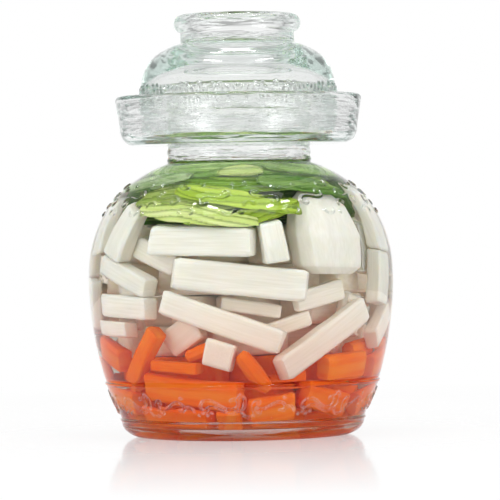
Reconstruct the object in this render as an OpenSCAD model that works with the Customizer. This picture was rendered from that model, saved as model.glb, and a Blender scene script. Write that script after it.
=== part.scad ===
// Water-sealed pickle jar in pressed glass, packed with leek, daikon and carrot.
// Z points up, the table is at zero and the jar's front faces -Y.

/* [Jar body] */
// Diameter of the glass at the widest part of the belly
belly_d = 180; // [150:1:220]
// Height of the widest part above the table
belly_z = 92; // [80:1:110]
// Rise from the widest part to where the shoulder curve would close over the axis
shoulder_rise = 75; // [65:1:90]
// How far the side draws in between the widest part and the pressed belt
belly_tuck = 9.5; // [4:0.5:16]
// Height of the lower bead of the pressed belt
belt_foot_z = 10.5; // [8:0.5:16]
// Height of the pressed belt between its two beads
belt_h = 21.5; // [14:0.5:30]
// How far the belt tapers in from its upper bead to its lower one
belt_taper = 8.7; // [4:0.1:14]
// How far the heel curves in from the lower bead to the foot
heel_tuck = 12.8; // [8:0.2:18]
// Width of the ring that the jar stands on
foot_ring_w = 9; // [5:0.5:14]
// Depth of the hollow under the base
foot_hollow = 2; // [1:0.5:3.5]
// Thickness of the side wall
wall = 4.2; // [3:0.1:6]
// Thickness of the base above the table
base_t = 6; // [5:0.5:9]
// Radius of the curve between the inner wall and the inner floor
inner_heel_r = 18; // [10:1:24]
// Width of a raised bead line
bead_w = 2; // [1.4:0.1:3]
// How far a bead line stands out of the glass
bead_h = 0.8; // [0.4:0.1:1.4]

/* [Neck] */
// Outer diameter of the neck
neck_d = 84.6; // [76:0.2:96]
// Thickness of the neck wall
neck_wall = 4.3; // [3.5:0.1:6]
// Height of the neck between the shoulder and the moat
neck_h = 10.8; // [6:0.2:16]
// How far the mouth stands above the moat's rim
mouth_rise = 8; // [3:0.5:10]
// How far the lip of the mouth stands out of the neck
lip_w = 2; // [1:0.5:4]
// Height of the lip of the mouth
lip_h = 6; // [4:0.5:9]

/* [Water moat] */
// Height of the moat from its underside to its rim
moat_h = 29; // [24:0.5:36]
// Width of the flat underside from the neck to the lower corner
moat_shelf = 20.2; // [17:0.2:26]
// Width of the moat's rounded lower corner
moat_corner_w = 7.8; // [5:0.2:11]
// Height of the moat's rounded lower corner
moat_corner_h = 10.5; // [7:0.5:14]
// How far the moat's wall leans out between the corner and the rim
moat_flare = 2.5; // [1:0.1:5]
// Thickness of the moat's wall
moat_wall = 4.6; // [3.5:0.1:6]
// Thickness of the moat's floor
moat_floor_t = 5; // [4:0.5:7]

/* [Lid] */
// Width of the water channel left outside the lid's skirt
channel_w = 8.2; // [6:0.1:10]
// Clearance between the lid's skirt and the moat's floor
seat_gap = 0.3; // [0.2:0.1:0.6]
// Height of the straight skirt
skirt_h = 23.7; // [21:0.1:30]
// Thickness of the lid's wall
lid_wall = 4; // [3:0.1:5]
// Height of the bead line above the skirt's foot
ridge_h = 14.1; // [8:0.1:18]
// Rise of the dome above the skirt
dome_rise = 34; // [30:0.5:42]
// Thickness of the glass over the mouth
crown_t = 5; // [4:0.5:7]
// How far the floor of the handle's hollow lies below the top of the dome curve
recess_sink = 4.5; // [3:0.5:6]
// Outer diameter of the ring handle
handle_d = 75.2; // [64:0.2:84]
// Width of the ring handle's round bead
handle_bead_w = 10.2; // [8:0.2:13]
// Height of the ring handle's round bead
handle_bead_h = 11; // [8:0.5:14]
// How far the stem under the bead is set in from the bead
handle_tuck = 3.9; // [2:0.1:5]
// Height of the handle's top above the dome curve
handle_rise = 14; // [11:0.5:18]

/* [Filling] */
// How far the vegetables reach above the foot of the neck
fill_rise = 1.5; // [0:0.5:5]
// Clearance between the vegetables and the glass wall
glass_gap = 0.6; // [0.4:0.1:1.2]
// Clearance between the lowest vegetables and the floor of the jar
floor_gap = 0.3; // [0.3:0.1:0.6]

/* [Hidden] */
// Fullness of the curves: 2 is an ellipse, more is squarer
shoulder_power = 2.3;
belly_power = 1.9;
dome_power = 2.8;
// How many straight steps a curve of the glass is drawn with
curve_steps = 22;
bead_steps = 6;
$fn = 96;

belly_r = belly_d / 2;
belt_top_r = belly_r - belly_tuck;
belt_foot_r = belt_top_r - belt_taper;
belt_top_z = belt_foot_z + belt_h;
foot_r = belt_foot_r - heel_tuck;
neck_r = neck_d / 2;
mouth_r = neck_r - neck_wall;

// A quarter of a full curve: half width rx, half height rz, from angle a0 to a1
function full_curve(rx, rz, z0, power, a0, a1, steps) = [
    for (i = [0:steps]) let (a = a0 + (a1 - a0) * i / steps)
        [rx * pow(cos(a), 2 / power), z0 + rz * pow(sin(a), 2 / power)]
];
// The angle at which such a curve is r wide
function full_angle(rx, r, power) = acos(pow(r / rx, power / 2));
function arc(x, z, rx, rz, a0, a1, steps) = [
    for (i = [0:steps]) let (a = a0 + (a1 - a0) * i / steps) [x + rx * cos(a), z + rz * sin(a)]
];
function bead(x, z) = arc(x, z, bead_h, bead_w / 2, -90, 90, bead_steps);

// Outer radius of the side wall below the widest part
function side_r(z) = z > belt_top_z
    ? belly_r - belly_tuck * pow((belly_z - z) / (belly_z - belt_top_z), belly_power)
    : belt_foot_r + belt_taper * (z - belt_foot_z) / belt_h;

// The shoulder ends where it is as narrow as the neck
shoulder_end = full_angle(belly_r, neck_r, shoulder_power);
neck_foot_z = belly_z + shoulder_rise * pow(sin(shoulder_end), 2 / shoulder_power);
moat_z = neck_foot_z + neck_h;
rim_z = moat_z + moat_h;
mouth_z = rim_z + mouth_rise;

moat_shelf_r = neck_r + moat_shelf;
moat_side_r = moat_shelf_r + moat_corner_w;
rim_r = moat_side_r + moat_flare;
moat_floor_z = moat_z + moat_floor_t;
moat_in_r = moat_side_r - moat_wall;
moat_in_corner = moat_corner_w / 2;

// The room inside the jar
cavity_r = belly_r - wall;
cavity_rise = shoulder_rise - wall;
cavity_end = full_angle(cavity_r, mouth_r, shoulder_power);
cavity_neck_z = belly_z + cavity_rise * pow(sin(cavity_end), 2 / shoulder_power);
heel_top_z = base_t + inner_heel_r;
function heel_r(z) = side_r(heel_top_z) - wall
    - inner_heel_r * (1 - sqrt(max(0, 1 - pow((heel_top_z - z) / inner_heel_r, 2))));
function inner_r(z) =
    z >= cavity_neck_z ? mouth_r :
    z > belly_z ? cavity_r * pow(1 - pow((z - belly_z) / cavity_rise, shoulder_power), 1 / shoulder_power) :
    z > heel_top_z ? side_r(z) - wall : heel_r(z);

// Jar glass: belly, neck, moat and mouth are one piece of glass
module jar() {
    wall_steps = curve_steps / 2;
    outer = concat(
        [[0, foot_hollow], [foot_r - foot_ring_w - foot_hollow, foot_hollow], [foot_r - foot_ring_w, 0]],
        arc(foot_r, belt_foot_z - bead_w / 2, heel_tuck, belt_foot_z - bead_w / 2, -90, 0, bead_steps),
        bead(belt_foot_r, belt_foot_z),
        bead(belt_top_r, belt_top_z),
        [for (i = [1:wall_steps - 1]) let (z = belt_top_z + bead_w / 2
            + (belly_z - belt_top_z - bead_w / 2) * i / wall_steps) [side_r(z), z]],
        full_curve(belly_r, shoulder_rise, belly_z, shoulder_power, 0, shoulder_end, curve_steps),
        [[neck_r, moat_z], [moat_shelf_r, moat_z]],
        arc(moat_shelf_r, moat_z + moat_corner_h, moat_corner_w, moat_corner_h, -80, 0, bead_steps),
        arc(rim_r - moat_wall / 2, rim_z - moat_wall / 2, moat_wall / 2, moat_wall / 2, 0, 180, bead_steps),
        arc(moat_in_r - moat_in_corner, moat_floor_z + moat_in_corner, moat_in_corner, moat_in_corner,
            0, -90, bead_steps),
        [[neck_r, moat_floor_z], [neck_r, mouth_z - lip_h]],
        arc(neck_r, mouth_z - lip_h / 2, lip_w, lip_h / 2, -60, 90, bead_steps)
    );
    inner = concat(
        [[mouth_r, mouth_z - lip_w / 2]],
        [for (i = [curve_steps:-1:0]) let (a = cavity_end * i / curve_steps)
            [cavity_r * pow(cos(a), 2 / shoulder_power),
             belly_z + cavity_rise * pow(sin(a), 2 / shoulder_power)]],
        [for (i = [wall_steps - 1:-1:1]) let (z = heel_top_z + (belly_z - heel_top_z) * i / wall_steps)
            [inner_r(z), z]],
        [for (i = [0:bead_steps]) let (a = 90 * i / bead_steps, z = heel_top_z - inner_heel_r * sin(a))
            [inner_r(z), z]],
        [[0, base_t]]
    );
    color([0.78, 0.88, 0.84, 0.35]) rotate_extrude() polygon(concat(outer, inner));
}

skirt_z = moat_floor_z + seat_gap;
skirt_r = moat_in_r - channel_w;
spring_z = skirt_z + skirt_h;
crown_z = spring_z + dome_rise;
recess_z = crown_z - recess_sink;
handle_top_z = crown_z + handle_rise;
handle_bead_r = handle_d / 2 - handle_bead_w / 2;
handle_bead_z = handle_top_z - handle_bead_h / 2;
handle_stem_r = handle_d / 2 - handle_tuck;
recess_r = handle_d / 2 - handle_bead_w;
foot_round = lid_wall / 4;

// Lid: skirt, dome and ring handle are one piece of glass
module lid() {
    stem_angle = full_angle(skirt_r, handle_stem_r, dome_power);
    tuck_angle = acos(1 - 2 * handle_tuck / handle_bead_w);
    profile = concat(
        [[skirt_r - foot_round, skirt_z], [skirt_r, skirt_z + foot_round]],
        bead(skirt_r, skirt_z + ridge_h),
        full_curve(skirt_r, dome_rise, spring_z, dome_power, 0, stem_angle, curve_steps),
        arc(handle_bead_r, handle_bead_z, handle_bead_w / 2, handle_bead_h / 2, -tuck_angle, 180,
            2 * bead_steps),
        [[recess_r, recess_z + foot_round], [recess_r - foot_round, recess_z], [0, recess_z]],
        [for (i = [curve_steps:-1:0]) let (a = 90 * i / curve_steps)
            [(skirt_r - lid_wall) * pow(cos(a), 2 / dome_power),
             spring_z + (recess_z - crown_t - spring_z) * pow(sin(a), 2 / dome_power)]],
        [[skirt_r - lid_wall, skirt_z + foot_round], [skirt_r - lid_wall + foot_round, skirt_z]]
    );
    color([0.82, 0.91, 0.88, 0.35]) rotate_extrude() polygon(profile);
}

// The vegetables are laid out in a round of radius 1 and height 1, and each point is then
// carried out to the glass at its own height, so they always fill the jar and never touch
fill_z = base_t + floor_gap;
fill_h = cavity_neck_z + fill_rise - fill_z;
// How much of the height of the filling one of its radii covers
squat_share = 0.56;
function in_jar(x, y, h) = let (z = fill_z + h * fill_h, r = inner_r(z) - glass_gap) [x * r, y * r, z];

// Section of a cut stick, of a slice with a round back and of a wedge: [across, depth] for each corner
stick_shares = [[-0.86, 0], [0.86, 0], [1, 0.1], [1, 0.9], [0.86, 1], [-0.86, 1], [-1, 0.9], [-1, 0.1]];
round_shares = [
    [-0.4, 0], [0.4, 0], [0.82, 0.18], [1, 0.55], [0.94, 1], [-0.94, 1], [-1, 0.55], [-0.82, 0.18]
];
wedge_shares = [[-0.9, 0], [0.5, 0], [0.84, 0.16], [1, 0.5], [0.9, 1], [-0.4, 1], [-0.8, 0.7], [-1, 0.1]];
// Rings along a piece: [place, size] for each ring
cut_end_shares = [[-1, 0.88], [-0.92, 1], [0, 1], [0.92, 1], [1, 0.88]];
round_end_shares = [[-1, 0.6], [-0.8, 0.9], [0, 1], [0.7, 0.86], [1, 0.5]];

// Corners of a piece seen from outside: along the tangent, up, and in from the piece's face
function local_points(piece, section, ends) = [
    for (e = ends) for (s = section) let (
        along = e[0] * piece[3] / 2,
        across = s[0] * e[1] * piece[4] / 2,
        depth = piece[5] * (0.5 + (s[1] - 0.5) * e[1]))
        [along * cos(piece[2]) - across * sin(piece[2]),
         along * sin(piece[2]) + across * cos(piece[2]), depth]
];
// The piece is pushed out until its first corner is as near the glass as its row lets it come
function seated(points, reach) = min([for (p = points) sqrt(max(0, reach * reach - p[0] * p[0])) + p[2]]);
function piece_points(piece, section, ends) = let (
    points = local_points(piece, section, ends),
    face = seated(points, 1 - piece[6]),
    az = piece[0])
    [for (p = points) let (out = face - p[2])
        in_jar(out * sin(az) + p[0] * cos(az), p[0] * sin(az) - out * cos(az),
            piece[1] + p[1] * squat_share)];

// Skin of rings of n points each, closed by a fan at both ends
function skin_faces(n, rings) = concat(
    [for (k = [0:rings - 2]) for (i = [0:n - 1]) let (a = k * n + i, b = k * n + (i + 1) % n)
        each [[a, b, b + n], [a, b + n, a + n]]],
    [for (i = [1:n - 2]) [0, i + 1, i]],
    [for (i = [1:n - 2]) [(rings - 1) * n, (rings - 1) * n + i, (rings - 1) * n + i + 1]]
);
module skin(points, n) {
    polyhedron(points, skin_faces(n, len(points) / n), convexity = 4);
}
module stick(piece) {
    skin(piece_points(piece, stick_shares, cut_end_shares), len(stick_shares));
}
module slice(piece) {
    skin(piece_points(piece, round_shares, round_end_shares), len(round_shares));
}
module wedge(piece) {
    skin(piece_points(piece, wedge_shares, cut_end_shares), len(wedge_shares));
}

// Each piece: [degrees round from the front, height, tilt in degrees, length, width, depth, place in
// from the glass]
daikon_stick_shares = [
    [-58, 0.735, 70, 0.32, 0.22, 0.16, 0],
    [-17.5, 0.706, -1.5, 0.72, 0.185, 0.16, 0],
    [13.8, 0.7, 98, 0.26, 0.16, 0.16, 0],
    [-0.4, 0.566, -6.5, 0.87, 0.205, 0.15, 0],
    [-53.8, 0.584, -19, 0.5, 0.13, 0.15, 0],
    [-42.3, 0.651, -20, 0.35, 0.13, 0.08, 0.17],
    [-8.5, 0.412, -19.5, 0.84, 0.165, 0.15, 0],
    [-29.8, 0.367, 32, 0.26, 0.18, 0.1, 0.2],
    [-9.6, 0.292, -16, 0.2, 0.18, 0.2, 0],
    [37.9, 0.343, 31, 0.76, 0.175, 0.15, 0],
    [21.5, 0.396, 18, 0.34, 0.1, 0.09, 0.2],
    [38, 0.504, 13, 0.36, 0.13, 0.075, 0.165],
    [72, 0.562, 82, 0.34, 0.19, 0.16, 0],
    [5, 0.465, -9, 0.38, 0.09, 0.085, 0.225],
    [-54, 0.47, -3, 0.48, 0.15, 0.15, 0],
    [-62, 0.388, -2, 0.34, 0.1, 0.15, 0],
    [75, 0.385, 42, 0.28, 0.16, 0.16, 0],
    [76, 0.765, 84, 0.38, 0.22, 0.16, 0],
    [-77, 0.75, 97, 0.32, 0.18, 0.16, 0],
    [-84, 0.48, 80, 0.32, 0.13, 0.16, 0]
];
daikon_round_shares = [
    [43, 0.72, 88, 0.5, 0.54, 0.28, 0]
];
carrot_piece_shares = [
    [-24.5, 0.155, -6, 0.74, 0.19, 0.16, 0],
    [-30, 0.248, -4, 0.36, 0.08, 0.16, 0],
    [-47.5, 0.28, 47, 0.48, 0.135, 0.16, 0],
    [-69, 0.295, -20, 0.3, 0.17, 0.16, 0],
    [-35, 0.06, -3, 0.6, 0.13, 0.16, 0],
    [-69, 0.125, -10, 0.36, 0.18, 0.16, 0],
    [-6.5, 0.045, 2, 0.2, 0.14, 0.16, 0],
    [43, 0.115, -12, 0.44, 0.18, 0.16, 0],
    [74, 0.115, 15, 0.3, 0.19, 0.16, 0],
    [14, 0.085, 8, 0.36, 0.2, 0.16, 0],
    [50.3, 0.238, 4, 0.4, 0.19, 0.16, 0],
    [23, 0.2, 6, 0.27, 0.1, 0.08, 0.165],
    [78, 0.245, 12, 0.26, 0.18, 0.16, 0],
    [-84.5, 0.21, 85, 0.26, 0.12, 0.16, 0]
];
carrot_slice_shares = [
    [5.5, 0.226, -50, 0.32, 0.12, 0.16, 0],
    [-21, 0.306, 20, 0.21, 0.1, 0.1, 0.2]
];
// The second row, which shows between the pieces of the first
daikon_row_shares = [
    [-59, 0.475, 84, 0.3, 0.2, 0.08, 0.18],
    [-71, 0.64, 82, 0.26, 0.16, 0.09, 0.168],
    [60, 0.435, 78, 0.26, 0.2, 0.09, 0.197],
    [72, 0.66, 84, 0.3, 0.16, 0.1, 0.18]
];
carrot_row_shares = [
    [61, 0.18, -8, 0.34, 0.16, 0.08, 0.185],
    [-64, 0.21, 70, 0.24, 0.16, 0.08, 0.18],
    [70, 0.31, 10, 0.3, 0.12, 0.1, 0.17]
];
// Each leaf: [degrees round at one end, at the other, height there, at the other, arch, width, place out]
leek_leaf_shares = [
    [-50, 8, 0.826, 0.774, 0.004, 0.12, 1],
    [-34, 27, 0.892, 0.812, 0.01, 0.11, 1],
    [10, 60, 0.922, 0.87, 0.012, 0.11, 1],
    [-86, -31, 0.888, 0.938, 0.008, 0.09, 1],
    [-14, 16, 0.952, 0.958, 0.004, 0.07, 1],
    [18, 78, 0.97, 0.93, 0.006, 0.06, 1],
    [-58, -1, 0.85, 0.837, 0.02, 0.14, 0.945],
    [-8, 29, 0.774, 0.836, 0, 0.12, 0.945],
    [-82, 88, 0.946, 0.942, 0.014, 0.1, 0.943],
    [-50, 60, 0.898, 0.896, 0.01, 0.12, 0.88]
];
leaf_share = 0.045;
leaf_steps = 16;
// How wide a leaf's cut ends are, how far the taper runs past them and how round it is
leaf_end_share = 0.25;
leaf_taper_share = 0.03;
leaf_power = 0.6;
// Section of a leaf: [across, depth]
leaf_section_shares = [[-1, 0], [1, 0], [1, 1], [-1, 1]];

// The heart of the filling is laid in rows of straight sticks, each row at an angle to the last
row_shares = [-0.75, -0.375, 0, 0.375, 0.75];
row_gap_share = 0.02;
short_row_share = 0.5;
// Each layer: [direction in degrees, height of its foot, of its top, place of the cut, reach]
carrot_core_shares = [
    [20, 0, 0.1, 0.1, 0.76], [75, 0.103, 0.193, -0.15, 0.72], [-40, 0.196, 0.292, 0.05, 0.69]
];
daikon_core_shares = [
    [5, 0.296, 0.402, -0.1, 0.68], [60, 0.405, 0.509, 0.15, 0.66], [-25, 0.512, 0.616, 0, 0.7],
    [35, 0.619, 0.734, 0.1, 0.68]
];
leek_core_shares = [
    [-10, 0.738, 0.812, 0.05, 0.68], [50, 0.815, 0.888, -0.1, 0.68], [110, 0.891, 0.975, 0.05, 0.68]
];

function leaf_points(leaf) = [
    for (k = [0:leaf_steps]) let (
        t = k / leaf_steps,
        az = leaf[0] + (leaf[1] - leaf[0]) * t,
        h = leaf[2] + (leaf[3] - leaf[2]) * t + leaf[4] * sin(180 * t),
        taper = pow(sin(180 * (leaf_taper_share + (1 - 2 * leaf_taper_share) * t)), leaf_power),
        half = leaf[5] / 2 * squat_share * (leaf_end_share + (1 - leaf_end_share) * taper))
        for (s = leaf_section_shares) let (out = leaf[6] - s[1] * leaf_share)
            in_jar(out * sin(az), -out * cos(az), h + s[0] * half)
];
module leaf(leaf) {
    skin(leaf_points(leaf), len(leaf_section_shares));
}

// A straight stick of the core, between two places along its row
module bar(layer, row, from, to) {
    half = (row_shares[1] - row_shares[0] - row_gap_share) / 2;
    skin([for (along = [from, to]) for (c = [[0, -1], [1, -1], [1, 1], [0, 1]]) let (side = row + c[1] * half)
        in_jar((along * cos(layer[0]) - side * sin(layer[0])) * layer[4],
            (along * sin(layer[0]) + side * cos(layer[0])) * layer[4], layer[1 + c[0]])], 4);
}
module core(layers) {
    for (layer = layers) for (row = row_shares) {
        reach = sqrt(1 - pow(abs(row) + (row_shares[1] - row_shares[0]) / 2, 2));
        if (reach > short_row_share) {
            bar(layer, row, -reach, layer[3] - row_gap_share / 2);
            bar(layer, row, layer[3] + row_gap_share / 2, reach);
        } else {
            bar(layer, row, -reach, reach);
        }
    }
}

daikon_color = [0.93, 0.92, 0.86];
carrot_color = [0.96, 0.47, 0.12];
leek_color = [0.62, 0.75, 0.28];

module daikon_stick(piece) {
    color(daikon_color) stick(piece);
}
module daikon_round(piece) {
    color(daikon_color) slice(piece);
}
module carrot_piece(piece) {
    color(carrot_color) wedge(piece);
}
module carrot_slice(piece) {
    color(carrot_color) slice(piece);
}
module leek_leaf(piece) {
    color(leek_color) leaf(piece);
}
module daikon_core() {
    color(daikon_color) core(daikon_core_shares);
    for (piece = daikon_row_shares) {
        daikon_stick(piece);
        daikon_stick(behind(piece));
    }
}
module carrot_core() {
    color(carrot_color) core(carrot_core_shares);
    for (piece = carrot_row_shares) {
        carrot_piece(piece);
        carrot_piece(behind(piece));
    }
}
module leek_core() {
    color(leek_color) core(leek_core_shares);
}

// The back of the jar is packed as the front is, seen in a mirror
function behind(piece) = concat([180 - piece[0], piece[1], -piece[2]], [for (i = [3:6]) piece[i]]);
function slice_behind(piece) = concat([180 - piece[0], piece[1], 180 - piece[2]], [for (i = [3:6]) piece[i]]);
function leaf_behind(leaf) =
    concat([180 - leaf[1], 180 - leaf[0], leaf[3], leaf[2]], [for (i = [4:6]) leaf[i]]);
back_group = 7;
function back_count(list) = ceil(len(list) / back_group);
function back_range(list, i) = [for (k = [i * back_group:min(len(list), (i + 1) * back_group) - 1]) list[k]];

// Names of a numbered set of pieces
function names(base, count) = [for (i = [1:count]) str(base, "_", i)];

jar();
lid();
for (i = [0:len(daikon_stick_shares) - 1])
    daikon_stick(daikon_stick_shares[i]);
for (i = [0:len(daikon_round_shares) - 1])
    daikon_round(daikon_round_shares[i]);
for (i = [0:len(carrot_piece_shares) - 1])
    carrot_piece(carrot_piece_shares[i]);
for (i = [0:len(carrot_slice_shares) - 1])
    carrot_slice(carrot_slice_shares[i]);
for (i = [0:len(leek_leaf_shares) - 1])
    leek_leaf(leek_leaf_shares[i]);
for (i = [0:back_count(daikon_stick_shares) - 1])
    for (piece = back_range(daikon_stick_shares, i)) daikon_stick(behind(piece));
for (i = [0:back_count(carrot_piece_shares) - 1])
    for (piece = back_range(carrot_piece_shares, i)) carrot_piece(behind(piece));
for (piece = daikon_round_shares) daikon_round(slice_behind(piece));  // daikon_round_back
for (piece = carrot_slice_shares) carrot_slice(slice_behind(piece));  // carrot_slices_back
for (piece = leek_leaf_shares) leek_leaf(leaf_behind(piece));  // leek_leaves_back
daikon_core();
carrot_core();
leek_core();
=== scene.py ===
# Water-sealed pickle jar in pressed glass on a white studio table, packed with leek, daikon and carrot.
# Everything is in metres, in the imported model's frame: +Z is up and the front of the jar faces -Y.
import math

import bmesh
import bpy
import numpy as np
from mathutils import Matrix, Vector, noise


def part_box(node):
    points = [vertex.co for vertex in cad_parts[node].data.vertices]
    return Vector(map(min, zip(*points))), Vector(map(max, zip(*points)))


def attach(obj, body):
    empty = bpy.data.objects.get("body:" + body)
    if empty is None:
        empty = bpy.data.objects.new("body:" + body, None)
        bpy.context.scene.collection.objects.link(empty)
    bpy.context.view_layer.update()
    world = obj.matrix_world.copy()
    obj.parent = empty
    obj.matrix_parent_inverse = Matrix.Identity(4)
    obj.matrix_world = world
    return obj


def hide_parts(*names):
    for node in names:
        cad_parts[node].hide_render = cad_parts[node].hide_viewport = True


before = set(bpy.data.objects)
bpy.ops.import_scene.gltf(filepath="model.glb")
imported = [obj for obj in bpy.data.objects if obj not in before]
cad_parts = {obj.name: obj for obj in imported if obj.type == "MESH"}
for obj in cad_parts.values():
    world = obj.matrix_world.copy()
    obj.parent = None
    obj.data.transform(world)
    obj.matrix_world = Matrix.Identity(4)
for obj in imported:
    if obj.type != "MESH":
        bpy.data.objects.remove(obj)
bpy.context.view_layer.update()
mm = 0.001
hair = 0.01 * mm   # what lies closer than this is in the same place
weld = 0.004 * mm  # corners that the CAD's shading doubled lie closer than this
print("frame loaded:", len(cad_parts), "nodes")


# Small tools

def toLinear(hexColour):
    # sRGB hex to the linear colour that shaders take
    channels = [int(hexColour[i:i + 2], 16) / 255 for i in (1, 3, 5)]
    linear = [c / 12.92 if c <= 0.04045 else ((c + 0.055) / 1.055) ** 2.4 for c in channels]
    return (*linear, 1.0)


def newMaterial(name):
    material = bpy.data.materials.new(name)
    material.use_nodes = True
    material.node_tree.nodes.clear()
    return material, material.node_tree


def addNode(tree, kind, **settings):
    # A setting is a property of the node, or a socket: socket names are written with _ for each blank,
    # numbered sockets as in0, in1; another node's output is linked and anything else is set
    node = tree.nodes.new("ShaderNode" + kind)
    for key, value in settings.items():
        if key in node.bl_rna.properties:
            setattr(node, key, value)
            continue
        numbered = key.startswith("in") and key[2:].isdigit()
        socket = node.inputs[int(key[2:])] if numbered else node.inputs[key.replace("_", " ")]
        if isinstance(value, bpy.types.NodeSocket):
            tree.links.new(value, socket)
        else:
            socket.default_value = value
    return node


def addObject(name, mesh):
    piece = bpy.data.objects.new(name, mesh)
    bpy.context.scene.collection.objects.link(piece)
    return piece


def joinedMesh(node):
    # The CAD node as a bmesh, with the corners that its shading doubled put back together
    bm = bmesh.new()
    bm.from_mesh(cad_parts[node].data)
    bmesh.ops.remove_doubles(bm, verts=bm.verts, dist=weld)
    return bm


# Turned glass: a profile is read off the CAD glass, refined and turned about the jar's axis

profileReading = {
    "sameRing": 0.03,   # mm within which corners belong to one ring
    "keptBend": 12,     # degrees of bend from which a point is kept, however close it lies
    "trueCorner": 48,   # degrees of bend from which a corner stays sharp
}


def turnedProfile(node, startHigh):
    # (radius, height) of each ring of corners of the CAD glass, from one end on the axis to the other
    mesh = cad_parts[node].data
    sameRing = profileReading["sameRing"] * mm
    rings, ringOf, cornerRing = [], {}, []
    for v in mesh.vertices:
        here = (math.hypot(v.co.x, v.co.y), v.co.z)
        key = (round(here[0] / weld), round(here[1] / weld))
        if key not in ringOf:
            same = [k for k, ring in enumerate(rings) if math.dist(ring, here) < sameRing]
            ringOf[key] = same[0] if same else len(rings)
            rings += [] if same else [here]
        cornerRing.append(ringOf[key])
    beside = [set() for ring in rings]
    for edge in mesh.edges:
        a, b = (cornerRing[k] for k in edge.vertices)
        if a != b:
            beside[a].add(b)
            beside[b].add(a)
    ends = sorted((k for k in range(len(rings)) if len(beside[k]) == 1), key=lambda k: rings[k][1])
    walked = [ends[-1 if startHigh else 0]]
    while True:
        onward = [k for k in beside[walked[-1]] if k not in walked]
        if not onward:
            break
        walked.append(min(onward, key=lambda k: math.dist(rings[k], rings[walked[-1]])))
    points = [rings[k] for k in walked]
    for end, place in ((0, 0), (-1, len(points) + 1)):
        if points[end][0] > sameRing:
            points.insert(place, (0.0, points[end][1]))
    return np.array(points)


def thinned(points, least):
    # Leaves out the points of a gentle curve that lie closer together than least
    kept = [0]
    for i in range(1, len(points) - 1):
        a, b, c = points[kept[-1]], points[i], points[i + 1]
        way, onward = b - a, c - b
        bend = math.degrees(abs(math.atan2(way[0] * onward[1] - way[1] * onward[0], way @ onward)))
        if bend > profileReading["keptBend"] or math.dist(a, c) > least:
            kept.append(i)
    return points[kept + [len(points) - 1]]


def refined(points, gapAt):
    # Rounds a profile off between its true corners and puts a point at least every gapAt(radius, height)
    corner = profileReading["trueCorner"]
    turn = np.zeros(len(points))
    way = np.diff(points, axis=0)
    way /= np.linalg.norm(way, axis=1)[:, None]
    turn[1:-1] = np.degrees(np.arccos(np.clip((way[1:] * way[:-1]).sum(1), -1, 1)))
    out = [points[0]]
    for i in range(len(points) - 1):
        a, b = points[i], points[i + 1]
        span = np.linalg.norm(b - a)
        before = points[i - 1] if i and turn[i] < corner else a
        after = points[i + 2] if i + 2 < len(points) and turn[i + 1] < corner else b
        # Slopes at both ends, no longer than the step itself
        slopeA = (b - before) / max(np.linalg.norm(b - before), 1e-9) * span
        slopeB = (after - a) / max(np.linalg.norm(after - a), 1e-9) * span
        steps = max(1, math.ceil(span / gapAt(*((a + b) / 2))))
        for t in np.arange(1, steps + 1) / steps:
            out.append(a * (2 * t ** 3 - 3 * t ** 2 + 1) + slopeA * (t ** 3 - 2 * t ** 2 + t)
                       + b * (3 * t ** 2 - 2 * t ** 3) + slopeB * (t ** 3 - t ** 2))
    return np.array(out)


def profileNormals(points):
    way = np.gradient(points, axis=0)
    way /= np.linalg.norm(way, axis=1)[:, None]
    normals = np.stack([way[:, 1], -way[:, 0]], 1)
    area = (points[:-1, 0] * points[1:, 1] - points[1:, 0] * points[:-1, 1]).sum()
    return normals if area > 0 else -normals


def steepness(points, raised, i, out):
    # Slope of the ornament at each corner of ring i: nothing on plain glass
    around = np.gradient(out) * len(out) / (2 * np.pi * points[i, 0])
    before, after = raised.get(i - 1), raised.get(i + 1)
    if before is None or after is None or len(before) != len(out) or len(after) != len(out):
        return np.abs(around)
    return np.hypot(around, (after - before) / math.dist(points[i - 1], points[i + 1]))


def turned(name, points, columns, raised=None, brinyAt=None):
    # Turns a profile into a closed mesh. raised holds, for the rings that carry ornament, how far each of
    # their columns stands out, and such a ring may have a whole number of times more columns. brinyAt tells
    # if glass and brine touch between one ring and the next, for the face attribute "briny"
    raised = raised or {}
    normals = profileNormals(points)
    corners, rings, steep = [], [], []
    for i, (r, z) in enumerate(points):
        if r < hair:
            rings.append([len(corners)])
            corners.append((0, 0, z))
            steep.append([0.0])
            continue
        out = np.asarray(raised.get(i, np.zeros(columns)))
        angle = 2 * np.pi * np.arange(len(out)) / len(out)
        rr, zz = r + normals[i, 0] * out, z + normals[i, 1] * out
        steep.append(steepness(points, raised, i, out))
        rings.append(list(range(len(corners), len(corners) + len(out))))
        corners.extend(zip(rr * np.sin(angle), -rr * np.cos(angle), zz))
    faces, briny = [], []
    for number, (low, high) in enumerate(zip(rings, rings[1:])):
        few, many = (low, high) if len(low) <= len(high) else (high, low)
        times = len(many) // len(few)
        for i in range(len(few) if len(few) > 1 else len(many)):
            if len(few) == 1:
                face = [few[0], many[(i + 1) % len(many)], many[i]]
            else:
                row = [many[(i * times + k) % len(many)] for k in range(times, -1, -1)]
                face = [few[i], few[(i + 1) % len(few)]] + row
            faces.append(face if few is low else face[::-1])
            briny.append(float(brinyAt(number)) if brinyAt else 0.0)
    mesh = bpy.data.meshes.new(name)
    mesh.from_pydata(corners, [], faces)
    mesh.attributes.new("briny", "FLOAT", "FACE").data.foreach_set("value", briny)
    mesh.attributes.new("steep", "FLOAT", "POINT").data.foreach_set("value", np.concatenate(steep))
    bm = bmesh.new()
    bm.from_mesh(mesh)
    bmesh.ops.recalc_face_normals(bm, faces=bm.faces)
    bm.to_mesh(mesh)
    bm.free()
    mesh.shade_smooth()
    return mesh


# Pressed ornament: lines and dots that stand out of the glass, drawn in millimetres on one repeat of a band

ornamentDrawing = {
    "scrollSteps": 56,  # straight steps in a scroll
    "archSteps": 24,    # and in an arch
    "fade": 0.8,        # mm over which a band starts and ends
    "margin": 1,        # mm of fine rings past a band's edges
}


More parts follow.
